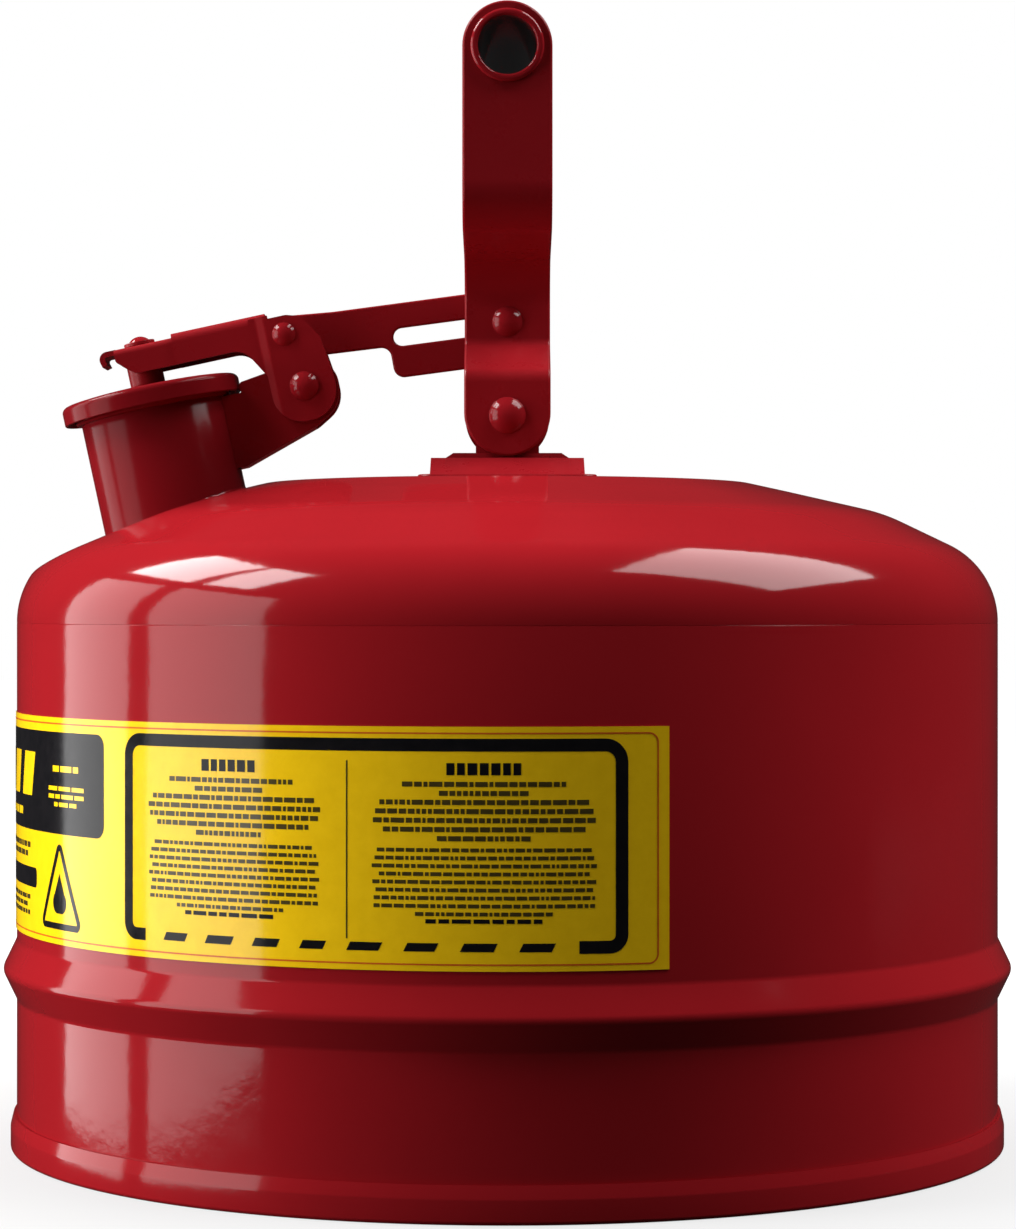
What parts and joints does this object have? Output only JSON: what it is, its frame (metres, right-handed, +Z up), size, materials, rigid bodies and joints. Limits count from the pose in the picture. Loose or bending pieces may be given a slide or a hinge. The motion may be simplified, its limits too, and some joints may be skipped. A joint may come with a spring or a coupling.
{
  "type": "safety gas can",
  "caption": "Round red steel safety can with domed top, slanted spout, self-closing lid and swinging carry handle whose slotted link opens the lid.",
  "frame": {"origin": "centre of the foot rim, on the ground", "axes": "+Z up along the can's axis, -X towards the spout, the hand grip lies along Y"},
  "size_m": [0.298, 0.298, 0.3287],
  "materials": {
    "red_paint": "gloss enamel",
    "plated_steel": "zinc plated",
    "gasket_rubber": "matte",
    "label_vinyl": "printed vinyl film"
  },
  "bodies": {
    "can": {"body_shell": "red_paint", "top_dome": "red_paint", "bottom_pan": "red_paint", "label": "label_vinyl", "spout_tube": "red_paint", "spout_bracket": "red_paint", "arrester_flange": "plated_steel", "arrester_screen": "plated_steel", "arrester_end_cap": "plated_steel", "lever_pivot_pin": "red_paint", "lever_pivot_bush": "plated_steel", "lever_spring": "plated_steel", "handle_stand": "red_paint", "stand_pad": "red_paint", "stand_rivets": "red_paint", "stand_washers": "plated_steel"},
    "handle": {"handle_strap_near": "red_paint", "handle_strap_far": "red_paint", "grip_tube": "red_paint", "slot_rivet": "red_paint", "slot_bushes": "plated_steel"},
    "lever": {"lid_lever": "red_paint", "link_pin": "red_paint", "link_spacers": "plated_steel", "vent_spring": "plated_steel"},
    "link": {"slotted_link": "red_paint"},
    "lid": {"lid_cap": "red_paint", "lid_gasket": "gasket_rubber", "gasket_retainer": "plated_steel", "lid_stem": "red_paint", "stem_washer": "red_paint", "spring_cup": "red_paint"}
  },
  "joints": [
    {"name": "handle_tilt", "type": "hinge", "parent": "can", "child": "handle", "pos_m": [0, 0, 0.2143], "axis": [0, 1, 0], "range_deg": [0, 30]},
    {"name": "lever_swing", "type": "hinge", "parent": "can", "child": "lever", "pos_m": [-0.06012, 0, 0.22359], "axis": [0, 1, 0], "range_deg": [0, 50.5], "stiffness_Nm_per_rad": 1, "springref_deg": -34.38, "deforming": ["lever_spring"]},
    {"name": "link_swing", "type": "hinge", "parent": "lever", "child": "link", "pos_m": [-0.0662, 0, 0.23891], "axis": [0, 1, 0], "range_deg": [-47.5, 0]},
    {"name": "lid_vent", "type": "slide", "parent": "lever", "child": "lid", "axis": [-0.2113, 0, 0.9774], "range_m": [0, 0.002], "stiffness_N_per_m": 1500, "springref_m": -0.01, "deforming": ["vent_spring"]}
  ],
  "couplings": [
    {"joint": "lever_swing", "follows": "handle_tilt", "ratio": 1.67},
    {"joint": "link_swing", "follows": "handle_tilt", "ratio": -1.57}
  ]
}
